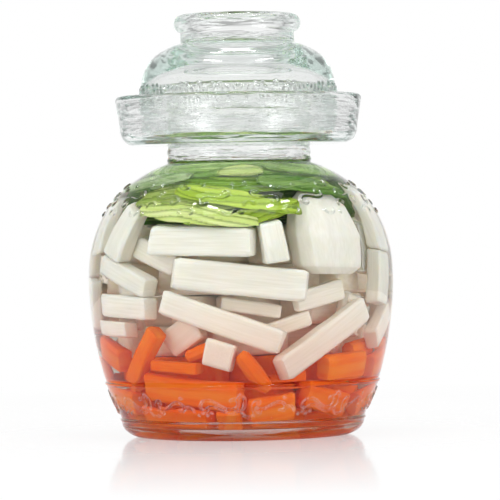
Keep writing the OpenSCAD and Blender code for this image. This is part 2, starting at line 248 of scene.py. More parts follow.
def scroll(x, y, length, turn, tilt, volute=False):
    # A line whose curve tightens from its middle to both ends: an S, or a volute that curls one way
    steps = ornamentDrawing["scrollSteps"]
    s = np.linspace(-1, 1, steps + 1)
    heading = math.radians(tilt) + math.radians(turn) * (s * abs(s) if volute else s * s)
    line = np.cumsum(np.stack([np.cos(heading), np.sin(heading)], 1) * length / steps, axis=0)
    return line - line[steps // 2] + (x, y)


def arch(x, y, radius, fromAngle=0, toAngle=180):
    a = np.radians(np.linspace(fromAngle, toAngle, ornamentDrawing["archSteps"] + 1))
    return np.stack([x + radius * np.cos(a), y + radius * np.sin(a)], 1)


def ornamentHeights(strokes, dots, width, columns, up, ridge):
    # Height at each column and level of one repeat, where up is the level of each ring in the band
    along = (np.arange(columns) / columns) * width
    along = np.where(along > width / 2, along - width, along)
    grid = np.stack(np.meshgrid(along, up), -1)[:, :, None, :]
    height = np.zeros(grid.shape[:2])
    for line in strokes:
        for shift in (-width, 0, width):
            a, b = line[:-1] + (shift, 0), line[1:] + (shift, 0)
            if a[:, 0].max() < -width or a[:, 0].min() > width:
                continue
            t = np.clip(((grid - a) * (b - a)).sum(-1) / ((b - a) ** 2).sum(-1), 0, 1)
            near = np.sqrt(((grid - a - t[..., None] * (b - a)) ** 2).sum(-1)).min(-1)
            aside = np.clip(near / ridge["halfWidth"], 0, 1)
            height = np.maximum(height, ridge["height"] * (0.5 + 0.5 * np.cos(np.pi * aside)))
    for x, y, radius in dots:
        for shift in (-width, 0, width):
            near = np.sqrt(((grid[:, :, 0] - (x + shift, y)) ** 2).sum(-1))
            dome = np.sqrt(np.clip(1 - (near / radius) ** 2, 0, 1))
            height = np.maximum(height, ridge["height"] * dome)
    return height * mm


def inBand(z, band):
    margin = ornamentDrawing["margin"]
    return band["lowZ"] - margin < z / mm < band["highZ"] + margin


def bandRings(points, lowZ, highZ, lastIndex):
    # Rings of the outer face between two heights, and how far up the band each lies, in millimetres
    found = [i for i in range(lastIndex) if lowZ < points[i, 1] < highZ]
    level = np.concatenate([[0], np.cumsum(np.linalg.norm(np.diff(points[found], axis=0), axis=1))])
    return found, level / mm


def addBand(raised, points, band, columns, lastIndex):
    found, up = bandRings(points, band["lowZ"] * mm, band["highZ"] * mm, lastIndex)
    if not found:
        raise RuntimeError("no rings for the band from " + str(band["lowZ"]) + " mm")
    radius = points[found, 0].mean() / mm
    width = 2 * math.pi * radius / band["repeats"]
    strokes, dots = band["draw"](width, up[-1])
    heights = ornamentHeights(strokes, dots, width, columns // band["repeats"], up, band["ridge"])
    fade = np.clip(np.minimum(up, up[-1] - up) / ornamentDrawing["fade"], 0, 1)[:, None]
    for i, row in zip(found, heights * fade):
        raised[i] = np.tile(row, band["repeats"])


def lidOrnament(width, height):
    # Nested arches with a pair of curls and small ticks between them
    strokes = [arch(0, 0.3 * height, r, 0, 180) for r in (3.4, 6.6, 9.8)]
    for side in (-1, 1):
        x = side * width / 2
        strokes.append(scroll(x - side * 4.6, 0.5 * height, 17, side * 235, 90 - side * 28, True))
        strokes.append(arch(x - side * 8.2, 0.88 * height, 2.3, 200, 340))
        strokes.append(arch(x - side * 2.2, 0.86 * height, 2.0, 200, 340))
        strokes.append(arch(side * 12.4, 0.18 * height, 2.4, 20, 160))
    dots = [(0, 0.3 * height, 1.1), (width / 2, 0.24 * height, 1.5), (width / 2, 0.52 * height, 1.0)]
    return strokes, dots


def shoulderOrnament(width, height):
    # A vine of S scrolls with short tendrils
    strokes = [
        scroll(-width * 0.24, 0.5 * height, 34, 290, -14),
        scroll(width * 0.25, 0.52 * height, 30, -270, 16),
        scroll(0, 0.8 * height, 15, 150, 8, True),
        scroll(width / 2, 0.24 * height, 14, -160, -6, True),
        arch(-width * 0.11, 0.2 * height, 3.4, 200, 350),
        arch(width * 0.09, 0.3 * height, 2.8, 20, 190),
        arch(width * 0.4, 0.84 * height, 3.2, 180, 330),
    ]
    dots = [
        (-width * 0.4, 0.86 * height, 1.4),
        (width * 0.02, 0.12 * height, 1.3),
        (width * 0.14, 0.6 * height, 1.2),
    ]
    return strokes, dots


def beltOrnament(width, height):
    # Long S scrolls laid in pairs, with a rosette of curls and a row of dots between them
    strokes = [
        scroll(-width * 0.22, 0.52 * height, 40, 265, -36),
        scroll(-width * 0.2, 0.36 * height, 19, 70, -30),
        scroll(width * 0.27, 0.5 * height, 30, -235, 34),
        scroll(width * 0.02, 0.55 * height, 19, 215, 80, True),
        scroll(width * 0.1, 0.42 * height, 17, -215, 96, True),
        arch(width * 0.06, 0.34 * height, 4.2, 190, 350),
        arch(width * 0.46, 0.28 * height, 3.4, 10, 170),
    ]
    dots = [(-width * 0.44 + k * 2.6, 0.2 * height + (k % 2) * 1.4, 0.95) for k in range(4)]
    dots += [(width * 0.4, 0.74 * height, 1.1), (-width * 0.02, 0.84 * height, 1.0)]
    return strokes, dots


glassShape = {
    "columns": 144,          # round the plain glass
    "ornamentTimes": 5,      # times as many columns where there is ornament
    "plainGap": 4,           # mm between rings, on plain glass
    "curvedGap": 1.8,        # mm between rings, on the rims, neck and moat
    "curvedFrom": (40, 158),   # mm from the axis and above the table where these begin
    "ornamentGap": 0.76,     # mm between rings, on ornament
    "leastGap": 2.5,         # mm between the corners that are kept of a gentle curve
    "wave": (0.07, 17),      # mm that the pressed faces swell in and out, and from one swell to the next
    "waveShift": 7.3,        # where in the noise the swells are taken
    "bands": [
        {"lowZ": 11.9, "highZ": 30.7, "repeats": 8, "draw": beltOrnament,
         "ridge": {"halfWidth": 1.05, "height": 0.95}},
        {"lowZ": 128, "highZ": 150, "repeats": 8, "draw": shoulderOrnament,
         "ridge": {"halfWidth": 1.05, "height": 1.05}},
    ],
    # upright: mm that the wall may lean from ring to ring and still count as the neck
    "neckRings": {"lowZ": 161.6, "highZ": 171.2, "height": 0.6, "spacing": 3.2, "upright": 0.1},
}
lidShape = {
    "columns": 160,
    "ornamentTimes": 4,
    "plainGap": 2.6,
    "ornamentGap": 0.6,
    "leastGap": 1.2,
    "wave": (0.05, 15),
    "waveShift": 3.1,
    "band": {"lowZ": 192.4, "highZ": 210.5, "repeats": 8, "draw": lidOrnament,
             "ridge": {"halfWidth": 1.0, "height": 0.95}},
}
brineShape = {
    "level": 160.9,       # mm above the table, just over the highest leek
    "meniscusRise": 0.9,  # mm that it climbs at the glass
    "meniscusWidth": 2.6,
    "fallAt": (0.12, 0.3, 0.55, 1),  # shares of that width where its curve has a ring
    "flatAt": (0.8, 0.55, 0.3),      # shares of the neck's radius where the level top has one
    "offGlass": 0.05,     # mm between the brine's side and the wall, so that the two don't coincide
    "sideEnds": 1.5,      # mm under the level where the side stops, short of the meniscus
    "columns": 160,
    "gap": 2.6,           # mm between rings
}


def swell(mesh, waves, shift):
    # Moves the corners along their normals by noise; each wave is (height, size) in millimetres
    count = len(mesh.vertices)
    at, normals = np.empty(count * 3), np.empty(count * 3)
    mesh.vertices.foreach_get("co", at)
    mesh.vertex_normals.foreach_get("vector", normals)
    at, normals = at.reshape(-1, 3), normals.reshape(-1, 3)
    out = np.zeros(count)
    for height, size in waves:
        places = (at / (size * mm) + shift).tolist()
        out += [height * mm * noise.noise(place) for place in places]
    at = at + normals * out[:, None]
    at[:, 2] = np.maximum(at[:, 2], 0)  # nothing sinks into the table
    mesh.vertices.foreach_set("co", at.ravel())
    mesh.update()


def jarGap(r, z, outside):
    shape = glassShape
    if outside and any(inBand(z, band) for band in shape["bands"]):
        return shape["ornamentGap"] * mm
    fromAxis, fromTable = shape["curvedFrom"]
    curved = r > fromAxis * mm and z > fromTable * mm
    return shape["curvedGap" if curved else "plainGap"] * mm


def buildJarGlass():
    shape = glassShape
    points = thinned(turnedProfile("jar", startHigh=False), shape["leastGap"] * mm)
    mouthAt = int(points[:, 1].argmax())
    outer = refined(points[:mouthAt + 1], lambda r, z: jarGap(r, z, True))
    # A ring on the inner wall where the brine's edge meets it
    rimZ = (brineShape["level"] + brineShape["meniscusRise"]) * mm
    inside = points[mouthAt:]
    below = int((inside[:, 1] > rimZ).argmin())
    down = (inside[below - 1, 1] - rimZ) / (inside[below - 1, 1] - inside[below, 1])
    inside = np.insert(inside, below, inside[below - 1] * (1 - down) + inside[below] * down, axis=0)
    inner = refined(inside, lambda r, z: jarGap(r, z, False))
    whole = np.concatenate([outer, inner[1:]])
    raised = {}
    columns = shape["columns"] * shape["ornamentTimes"]
    for band in shape["bands"]:
        addBand(raised, whole, band, columns, len(outer))
    rings = shape["neckRings"]
    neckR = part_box("lid")[1].x  # wider than the neck, narrower than the moat's underside
    for i in range(len(outer)):
        r, z = whole[i] / mm
        upright = abs(whole[i, 0] - whole[i - 1, 0]) < rings["upright"] * mm
        if rings["lowZ"] < z < rings["highZ"] and r * mm < neckR and upright:
            level = (z - rings["lowZ"]) / rings["spacing"]
            out = rings["height"] * mm * math.sin(2 * math.pi * level)
            raised[i] = np.full(shape["columns"], out)
    wetFrom = len(outer) - 1 + int((inner[:, 1] < rimZ + hair).argmax())
    mesh = turned("jarGlass", whole, shape["columns"], raised, lambda number: number >= wetFrom)
    swell(mesh, [shape["wave"]], shape["waveShift"])
    print("jar glass:", len(mesh.polygons), "faces,", len(outer), "and", len(inner), "rings")
    return addObject("jar_glass", mesh), points[mouthAt:]


def lidGap(z, outside):
    ornate = outside and inBand(z, lidShape["band"])
    return lidShape["ornamentGap" if ornate else "plainGap"] * mm


def buildLidGlass():
    shape = lidShape
    points = thinned(turnedProfile("lid", startHigh=True), shape["leastGap"] * mm)
    footAt = int(points[:, 1].argmin())
    outer = refined(points[:footAt + 1], lambda r, z: lidGap(z, True))
    inner = refined(points[footAt:], lambda r, z: lidGap(z, False))
    whole = np.concatenate([outer, inner[1:]])
    raised = {}
    addBand(raised, whole, shape["band"], shape["columns"] * shape["ornamentTimes"], len(outer))
    mesh = turned("lidGlass", whole, shape["columns"], raised)
    swell(mesh, [shape["wave"]], shape["waveShift"])
    print("lid glass:", len(mesh.polygons), "faces")
    return addObject("lid_glass", mesh)


def buildBrine(cavity):
    # The brine follows the jar's inner wall, from the floor's centre up to its level in the neck
    shape = brineShape
    level = shape["level"] * mm
    wall = refined(cavity[::-1], lambda r, z: shape["gap"] * mm)
    normals = profileNormals(wall)
    if normals[0, 1] > 0:
        normals = -normals
    below = wall[:, 1] < level - shape["sideEnds"] * mm
    side = (wall - normals * shape["offGlass"] * mm)[below]
    side[0, 0] = 0
    neckR = wall[wall[:, 1] > level][0, 0] - shape["offGlass"] * mm
    rim = [(neckR, level + shape["meniscusRise"] * mm)]
    fall = [(neckR - shape["meniscusWidth"] * mm * t,
             level + shape["meniscusRise"] * mm * (1 - t) ** 3) for t in shape["fallAt"]]
    flat = [(neckR * t, level) for t in shape["flatAt"]]
    points = np.array([tuple(p) for p in side] + rim + fall + flat + [(0, level)])
    mesh = turned("brine", points, shape["columns"], None, lambda number: number < len(side))
    print("brine:", len(mesh.polygons), "faces")
    return addObject("brine", mesh)


# Cut vegetables: each starts from its CAD solid, is rounded off and gets an uneven knife-cut face

cutStyles = {
    # bevel in mm, levels of rounding, then (height, size) in mm of the slow and of the fine unevenness
    "daikon": {"bevel": 0, "levels": 3, "bend": (0.4, 16), "rough": (0.05, 2.4)},
    "carrot": {"bevel": 0, "levels": 3, "bend": (0.45, 12), "rough": (0.1, 2.2)},
    "leek": {"bevel": 0.9, "levels": 4, "bend": (0.7, 15), "rough": (0.12, 4)},
    "leekBack": {"bevel": 0.9, "levels": 2, "bend": (0.7, 15), "rough": (0.12, 4)},
    "core": {"bevel": 1.7, "levels": 2, "bend": (0.5, 14), "rough": (0.1, 3)},
}
cutting = {
    "joinFaces": 35,      # degrees between triangles that make one cut face
    "joinShapes": 170,    # degrees that such a face may be out of true
    "sharpEdge": 40,      # degrees from which an edge is bevelled
    "patternShift": 0.2,  # m along the fibres that the pattern is moved, at most, from piece to piece
    "noiseShift": 40,     # and the same for the unevenness, in its own units
}


def islandsOf(bm):
    # Number of the solid that each corner belongs to
    bm.verts.ensure_lookup_table()
    label = [-1] * len(bm.verts)
    count = 0
    for first in bm.verts:
        if label[first.index] >= 0:
            continue
        label[first.index] = count
        waiting = [first]
        while waiting:
            v = waiting.pop()
            for e in v.link_edges:
                other = e.other_vert(v)
                if label[other.index] < 0:
                    label[other.index] = count
                    waiting.append(other)
        count += 1
    return np.array(label), count


def straightFrame(points):
    # Place along, across and through a straight piece
    away = points - points.mean(0)
    directions = np.linalg.svd(away, full_matrices=False)[2]
    return away @ directions.T


def leafFrame(points):
    # Place along the arc of a leaf, up from its middle line, and in from the glass
    middle = math.atan2(points[:, 0].mean(), -points[:, 1].mean())
    turn = np.arctan2(points[:, 0], -points[:, 1]) - middle
    turn = (turn + np.pi) % (2 * np.pi) - np.pi
    radius = np.hypot(points[:, 0], points[:, 1])
    line = np.polyval(np.polyfit(turn, points[:, 2], 3), turn)
    return np.stack([turn * radius.mean(), points[:, 2] - line, radius - radius.mean()], 1)


strandShape = {
    "width": 3.6,                       # mm
    "depth": 1.0,                       # mm that a strand's low edge lies deeper than its high one
    "waves": ((90, 0.6), (37, 0.12)),   # mm from wave to wave, and share of the width that it strays
    "waveTurn": 6,                      # radians that a wave starts later, at most
    "shades": 100,                      # shades before they repeat
    "first": 40,                        # number of the strand at a leaf's middle
}


def layStrands(mesh, rng):
    # Lays a leaf in narrow strands that run along it, each one dipping under the next. The strand's own
    # shade of green and the closeness to its low edge, where the material paints shade, are kept as
    # attributes
    shape = strandShape
    count = len(mesh.vertices)
    at, outward, cut = np.empty(count * 3), np.empty(count * 3), np.empty(count * 3)
    mesh.vertices.foreach_get("co", at)
    mesh.vertices.foreach_get("normal", outward)
    mesh.attributes["cut"].data.foreach_get("vector", cut)
    at, outward, cut = at.reshape(-1, 3), outward.reshape(-1, 3), cut.reshape(-1, 3)
    phase = cut[:, 1] / (shape["width"] * mm) + shape["first"]
    for length, size in shape["waves"]:
        start = rng.random() * shape["waveTurn"]
        phase = phase + size * np.sin(cut[:, 0] * 2 * math.pi / (length * mm) + start)
    within = phase - np.floor(phase)
    at = at - outward * (shape["depth"] * mm * within ** 2)[:, None]
    mesh.vertices.foreach_set("co", at.ravel())
    shades = rng.random(shape["shades"])
    shade = shades[np.floor(phase).astype(int) % shape["shades"]]
    mesh.attributes.new("strand", "FLOAT", "POINT").data.foreach_set("value", shade)
    mesh.attributes.new("dip", "FLOAT", "POINT").data.foreach_set("value", within)
    mesh.update()


def dressed(node, style, leafLike, seed):
    # The finer piece that stands for a CAD node of one or more cut vegetables
    bm = joinedMesh(node)
    bmesh.ops.join_triangles(bm, faces=bm.faces, angle_face_threshold=math.radians(cutting["joinFaces"]),
                             angle_shape_threshold=math.radians(cutting["joinShapes"]))
    if style["bevel"]:
        sharp = [e for e in bm.edges if e.calc_face_angle(0) > math.radians(cutting["sharpEdge"])]
        bmesh.ops.bevel(bm, geom=sharp, offset=style["bevel"] * mm, segments=1, affect="EDGES")
    island, count = islandsOf(bm)
    base = bpy.data.meshes.new(node + "_base")
    bm.to_mesh(base)
    bm.free()
    at = np.empty(len(base.vertices) * 3)
    base.vertices.foreach_get("co", at)
    at = at.reshape(-1, 3)
    rng = np.random.default_rng(seed)
    tones = rng.random(count)
    cut = np.zeros_like(at)
    for k in range(count):
        mine = island == k
        cut[mine] = (leafFrame if leafLike else straightFrame)(at[mine])
        cut[mine] += rng.random(3) * (cutting["patternShift"], 0, 0)
    base.attributes.new("cut", "FLOAT_VECTOR", "POINT").data.foreach_set("vector", cut.ravel())
    base.attributes.new("tone", "FLOAT", "POINT").data.foreach_set("value", tones[island])
    holder = addObject(node + "_cut", base)
    rounding = holder.modifiers.new("rounding", "SUBSURF")
    rounding.subdivision_type = "SIMPLE"
    rounding.levels = style["levels"]
    mesh = bpy.data.meshes.new_from_object(holder.evaluated_get(bpy.context.evaluated_depsgraph_get()))
    holder.modifiers.clear()
    holder.data = mesh
    mesh.name = node + "_cut"
    swell(mesh, [style["bend"], style["rough"]], rng.random(3) * cutting["noiseShift"])
    if leafLike:
        layStrands(mesh, rng)
    mesh.shade_smooth()
    return holder


# Materials

def fibreField(tree, along, across, detail=3.0):
    # Noise drawn out along the piece: along and across are the sizes of a fibre in millimetres
    cut = addNode(tree, "Attribute", attribute_name="cut")
    drawn = addNode(tree, "VectorMath", operation="MULTIPLY", in0=cut.outputs["Vector"],
                    in1=(1 / (along * mm), 1 / (across * mm), 1 / (across * mm)))
    return addNode(tree, "TexNoise", Vector=drawn.outputs["Vector"], Scale=1.0, Detail=detail)


def blendColour(tree, amount, first, second):
    return addNode(tree, "Mix", data_type="RGBA", in0=amount, in6=first, in7=second).outputs[2]


def share(tree, value, low, high, toLow=0.0, toHigh=1.0):
    # Value mapped from low..high to toLow..toHigh, held inside that range
    return addNode(tree, "MapRange", in0=value, in1=low, in2=high, in3=toLow, in4=toHigh).outputs[0]


def between(tree, value, ends, toLow=0.0, toHigh=1.0):
    # As share, for two places in millimetres
    return share(tree, value, ends[0] * mm, ends[1] * mm, toLow, toHigh)


def lampsPass(tree, surface):
    # Lets lamps reach what stands behind a clear surface
    path = addNode(tree, "LightPath")
    clear = addNode(tree, "BsdfTransparent")
    return addNode(tree, "MixShader", in0=path.outputs["Is Shadow Ray"], in1=surface.outputs[0],
                   in2=clear.outputs[0])


def clearBody(tree, ior, **more):
    return addNode(tree, "BsdfPrincipled", Base_Color=toLinear("#ffffff"), Roughness=0.0, IOR=ior,
                   Transmission_Weight=1.0, **more)


def whereBriny(tree, elsewhere, briny):
    # The second shader where glass and brine touch, and the first one elsewhere
    touch = addNode(tree, "Attribute", attribute_name="briny", attribute_type="GEOMETRY")
    return addNode(tree, "MixShader", in0=touch.outputs["Fac"], in1=elsewhere.outputs[0],
                   in2=briny.outputs[0])


glassLook = {
    "ior": 1.52,
    "tint": ("#c2e7da", 5.0),        # absorption colour and density
    "peel": (5, 0.05, 0.35),         # mm across, mm deep, strength
    "streak": (45, 4.4),             # mm along and mm high
    "streakDepth": 1.5,              # mm
    "streakDetail": 2.2,
    # mm above the table where the streaks come in or go out: neck and moat, and handle
    "moatStarts": (158, 164),
    "moatEnds": (206, 204),
    "handleStarts": (228, 232),
    "flankSlope": (0.35, 1.1),       # slopes where the mirroring of a flank starts and is full
    "flankShare": 0.5,
    "flankTint": "#f3f9f6",
    "flankRoughness": 0.08,
}
brineLook = {
    "ior": 1.34,
    "tint": ("#fef2e2", 10.0),
}


def streaksOn(tree, at):
    # Height of the streaks, on the neck, moat and handle alone
    look = glassLook
    length, height = look["streak"]
    drawn = addNode(tree, "VectorMath", operation="MULTIPLY", in0=at.outputs["Object"],
                    in1=(1 / (length * mm), 1 / (length * mm), 1 / (height * mm)))
    streak = addNode(tree, "TexNoise", Vector=drawn.outputs["Vector"], Scale=1.0,
                     Detail=look["streakDetail"])
    place = addNode(tree, "SeparateXYZ", Vector=at.outputs["Object"])
    above = between(tree, place.outputs["Z"], look["moatStarts"])
    below = between(tree, place.outputs["Z"], look["moatEnds"])
    onHandle = between(tree, place.outputs["Z"], look["handleStarts"])
    onMoat = addNode(tree, "Math", operation="MULTIPLY", in0=above, in1=below)
    where = addNode(tree, "Math", operation="MAXIMUM", in0=onMoat.outputs[0], in1=onHandle)
    streaks = addNode(tree, "Math", operation="MULTIPLY", in0=streak.outputs["Fac"], in1=where.outputs[0])
    return streaks.outputs[0]


def sodaLimeGlass():
    # Soda-lime glass, pressed in an iron mould and fire polished: clear with a green cast where it is
    # thick, glossy all over, with a faint orange-peel that makes the highlights waver, and streaked
    # round the neck, moat and handle where the mould turned it. It hardly glints where brine stands
    # against it, so the vegetables show close behind it
    look = glassLook
    material, tree = newMaterial("sodaLimeGlassPressed")
    at = addNode(tree, "TexCoord")
    size, depth, strength = look["peel"]
    peel = addNode(tree, "TexNoise", Vector=at.outputs["Object"], Scale=1 / (size * mm), Detail=2.0)
    bump = addNode(tree, "Bump", Height=peel.outputs["Fac"], Strength=strength, Distance=depth * mm)
    bump = addNode(tree, "Bump", Height=streaksOn(tree, at), Strength=1.0,
                   Distance=look["streakDepth"] * mm, Normal=bump.outputs["Normal"])
    body = clearBody(tree, look["ior"], Normal=bump.outputs["Normal"])
    # The flanks of the pressed lines mirror more than they let through, which draws them dark and bright
    steep = addNode(tree, "Attribute", attribute_name="steep", attribute_type="GEOMETRY")
    flank = share(tree, steep.outputs["Fac"], *look["flankSlope"], 0, look["flankShare"])
    flash = addNode(tree, "BsdfGlossy", Color=toLinear(look["flankTint"]), Roughness=look["flankRoughness"],
                    Normal=bump.outputs["Normal"])
    dry = addNode(tree, "MixShader", in0=flank, in1=body.outputs[0], in2=flash.outputs[0])
    wet = clearBody(tree, look["ior"] / brineLook["ior"])
    surface = lampsPass(tree, whereBriny(tree, dry, wet))
    tint, density = look["tint"]
    green = addNode(tree, "VolumeAbsorption", Color=toLinear(tint), Density=density)
    addNode(tree, "OutputMaterial", Surface=surface.outputs[0], Volume=green.outputs["Volume"])
    return material


def saltBrine():
    # Salt water that has drawn a little colour from the carrot: clear, still, faintly warm in depth. Its
    # side shows nothing of its own, because the wall's own surface bends the light there
    material, tree = newMaterial("saltBrineStill")
    top = clearBody(tree, brineLook["ior"])
    surface = lampsPass(tree, whereBriny(tree, top, addNode(tree, "BsdfTransparent")))
    tint, density = brineLook["tint"]
    warm = addNode(tree, "VolumeAbsorption", Color=toLinear(tint), Density=density)
    addNode(tree, "OutputMaterial", Surface=surface.outputs[0], Volume=warm.outputs["Volume"])
    return material


daikonLook = {
    "fibre": (26, 1.1),                # mm along and across
    "cloud": (22, 9),
    "flesh": ("#f4f3ec", "#e8e6db"),   # between the fibres and on them
    "milky": "#dfe1d4",
    "warm": "#f5f0e6",                 # some pieces more than others
    "pink": "#f9cdb6",
    "paintedBounceHeights": (88, 52),           # mm above the table where the painted pink of light bounced off the carrots starts and is full
    "paintedBounceShare": 0.42,
    "fibreDepth": 0.12,                # mm
    "roughness": 0.42,
    "scatter": (1.0, 0.82, 0.6),       # of red, green and blue, as shares of its depth
    "scatterDepth": 6.0,               # mm
    "scatterShare": 0.8,
}
carrotLook = {
    "fibre": (15, 0.8),
    "cloud": (14, 6),
    "flesh": ("#ff7416", "#f4600c"),
    "light": "#ff8a26",
    "core": "#ff9530",
    "coreEdge": (3.2, 1.6),            # mm from the piece's middle line where the core starts and is full
    "deep": "#f25a0a",
    "fibreDepth": 0.16,
    "roughness": 0.4,
    "scatter": (1.0, 0.35, 0.12),
    "scatterDepth": 2.5,
    "scatterShare": 0.3,
}
leekLook = {
    "vein": (60, 0.9),
    "cloud": (40, 6),
    # painted shade in the cleft where a strand dips under the next
    "cleft": "#4a6e18",
    "veinDepth": 0.2,
    "roughness": 0.3,
    "scatter": (0.6, 1.0, 0.2),
    "scatterDepth": 1.0,
    "scatterShare": 0.3,
    "wetIor": 1.1,      # of the leaf against brine
}
rawWetIor = 1.06        # of daikon and carrot against brine


def wetFlesh(tree, look, colour, bump, ior):
    # Flesh that lets a little light in, under brine
    surface = addNode(tree, "BsdfPrincipled", Base_Color=colour, Roughness=look["roughness"], IOR=ior,
                      Subsurface_Weight=look["scatterShare"], Subsurface_Radius=look["scatter"],
                      Subsurface_Scale=look["scatterDepth"] * mm, Normal=bump.outputs["Normal"])
    addNode(tree, "OutputMaterial", Surface=surface.outputs["BSDF"])


def daikonFlesh():
    # Raw daikon, cut with a knife and soaked in brine: milky and a little translucent, with faint fibres
    # along the stick, and painted pink low down near the carrots, for the light that bounces off them
    look = daikonLook
    material, tree = newMaterial("daikonKnifeCut")
    fibre = fibreField(tree, *look["fibre"])
    cloud = fibreField(tree, *look["cloud"], 1.0)
    tone = addNode(tree, "Attribute", attribute_name="tone")
    place = addNode(tree, "NewGeometry")
    height = addNode(tree, "SeparateXYZ", Vector=place.outputs["Position"])
    plain, onFibre = (toLinear(colour) for colour in look["flesh"])
    flesh = blendColour(tree, share(tree, fibre.outputs["Fac"], 0.35, 0.7), plain, onFibre)
    milky = share(tree, cloud.outputs["Fac"], 0.4, 0.75, 0, 0.5)
    flesh = blendColour(tree, milky, flesh, toLinear(look["milky"]))
    warm = share(tree, tone.outputs["Fac"], 0.0, 1.0, 0, 0.3)
    flesh = blendColour(tree, warm, flesh, toLinear(look["warm"]))
    # Painted bounce light: pink on the lower flesh, near the carrots
    pink = between(tree, height.outputs["Z"], look["paintedBounceHeights"], 0, look["paintedBounceShare"])
    flesh = blendColour(tree, pink, flesh, toLinear(look["pink"]))
    bump = addNode(tree, "Bump", Height=fibre.outputs["Fac"], Strength=0.5,
                   Distance=look["fibreDepth"] * mm)
    wetFlesh(tree, look, flesh, bump, rawWetIor)
    return material


def carrotFlesh():
    # Raw carrot, cut with a knife: deep orange with fibres along the piece and a paler, yellower core
    look = carrotLook
    material, tree = newMaterial("carrotKnifeCut")
    fibre = fibreField(tree, *look["fibre"])
    cloud = fibreField(tree, *look["cloud"], 2.0)
    tone = addNode(tree, "Attribute", attribute_name="tone")
    cut = addNode(tree, "Attribute", attribute_name="cut")
    across = addNode(tree, "SeparateXYZ", Vector=cut.outputs["Vector"])
    fromMiddle = addNode(tree, "Math", operation="ABSOLUTE", in0=across.outputs["Y"])
    plain, onFibre = (toLinear(colour) for colour in look["flesh"])
    flesh = blendColour(tree, share(tree, fibre.outputs["Fac"], 0.35, 0.68), plain, onFibre)
    light = share(tree, cloud.outputs["Fac"], 0.35, 0.7, 0, 0.7)
    flesh = blendColour(tree, light, flesh, toLinear(look["light"]))
    core = between(tree, fromMiddle.outputs[0], look["coreEdge"], 0, 0.45)
    flesh = blendColour(tree, core, flesh, toLinear(look["core"]))
    deep = share(tree, tone.outputs["Fac"], 0.3, 1.0, 0, 0.5)
    flesh = blendColour(tree, deep, flesh, toLinear(look["deep"]))
    bump = addNode(tree, "Bump", Height=fibre.outputs["Fac"], Strength=0.6,
                   Distance=look["fibreDepth"] * mm)
    wetFlesh(tree, look, flesh, bump, rawWetIor)
    return material


def leekLeaf(name, pale, deep):
    # Leek leaf, shredded into strands and soaked soft: each strand with its own green, with painted shade
    # in the cleft under the next one, with close parallel veins and a waxy gloss
    look = leekLook
    material, tree = newMaterial(name)
    pale, deep = toLinear(pale), toLinear(deep)
    vein = fibreField(tree, *look["vein"], 2.0)
    cloud = fibreField(tree, *look["cloud"], 2.0)
    strand = addNode(tree, "Attribute", attribute_name="strand")
    dip = addNode(tree, "Attribute", attribute_name="dip")
    leaf = blendColour(tree, strand.outputs["Fac"], deep, pale)
    leaf = blendColour(tree, share(tree, cloud.outputs["Fac"], 0.4, 0.7, 0, 0.6), leaf, deep)
    leaf = blendColour(tree, share(tree, vein.outputs["Fac"], 0.45, 0.7, 0, 0.4), leaf, pale)
    # Painted shade: darker towards a strand's low edge, in the cleft under the next strand
    cleft = share(tree, dip.outputs["Fac"], 0.55, 1.0, 0, 0.6)
    leaf = blendColour(tree, cleft, leaf, toLinear(look["cleft"]))
    bump = addNode(tree, "Bump", Height=vein.outputs["Fac"], Strength=0.7, Distance=look["veinDepth"] * mm)
    wetFlesh(tree, look, leaf, bump, look["wetIor"])
    return material


# Glass and brine

glassMaterial = sodaLimeGlass()
jarGlass, cavity = buildJarGlass()
jarGlass.data.materials.append(glassMaterial)
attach(jarGlass, "jar")
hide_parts("jar")

lidGlass = buildLidGlass()
lidGlass.data.materials.append(glassMaterial)
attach(lidGlass, "lid")
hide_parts("lid")

brine = buildBrine(cavity)
brine.data.materials.append(saltBrine())
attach(brine, "jar")

# Vegetables

leafColours = {
    # pale and deep green of each kind of leaf
    "palest": ("#ecf3bb", "#c3d873"),
    "lime": ("#c6dd5c", "#90b432"),
    "pale": ("#cfdb92", "#8fa84a"),
    "bright": ("#b4d85a", "#5c8a1e"),
    "dark": ("#b8d67c", "#3f6e1a"),
    "grey": ("#ccdcae", "#5f8436"),
}
leafLooks = {
    "leek_leaf_1": "palest", "leek_leaf_2": "lime", "leek_leaf_3": "dark", "leek_leaf_4": "grey",
    "leek_leaf_5": "pale", "leek_leaf_6": "dark", "leek_leaf_7": "pale", "leek_leaf_8": "lime",
    "leek_leaf_9": "dark", "leek_leaf_10": "bright", "leek_leaves_back": "bright", "leek_core": "dark",
}
leafMaterials = {}
for look, (pale, deep) in leafColours.items():
    leafMaterials[look] = leekLeaf("leekLeaf" + look.capitalize(), pale, deep)
flesh = {"daikon": daikonFlesh(), "carrot": carrotFlesh()}

for number, node in enumerate(sorted(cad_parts)):
    kind = node.split("_")[0]
    if kind not in ("daikon", "carrot", "leek"):
        continue
    isCore = node.endswith("_core")
    leafLike = kind == "leek" and not isCore
    style = "core" if isCore else "leekBack" if node == "leek_leaves_back" else kind
    piece = dressed(node, cutStyles[style], leafLike, number)
    piece.data.materials.append(leafMaterials[leafLooks[node]] if kind == "leek" else flesh[kind])
    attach(piece, "jar")
    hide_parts(node)
print("vegetables dressed")

# Studio: a pale floor that runs out into white, soft lamps and the photograph's camera

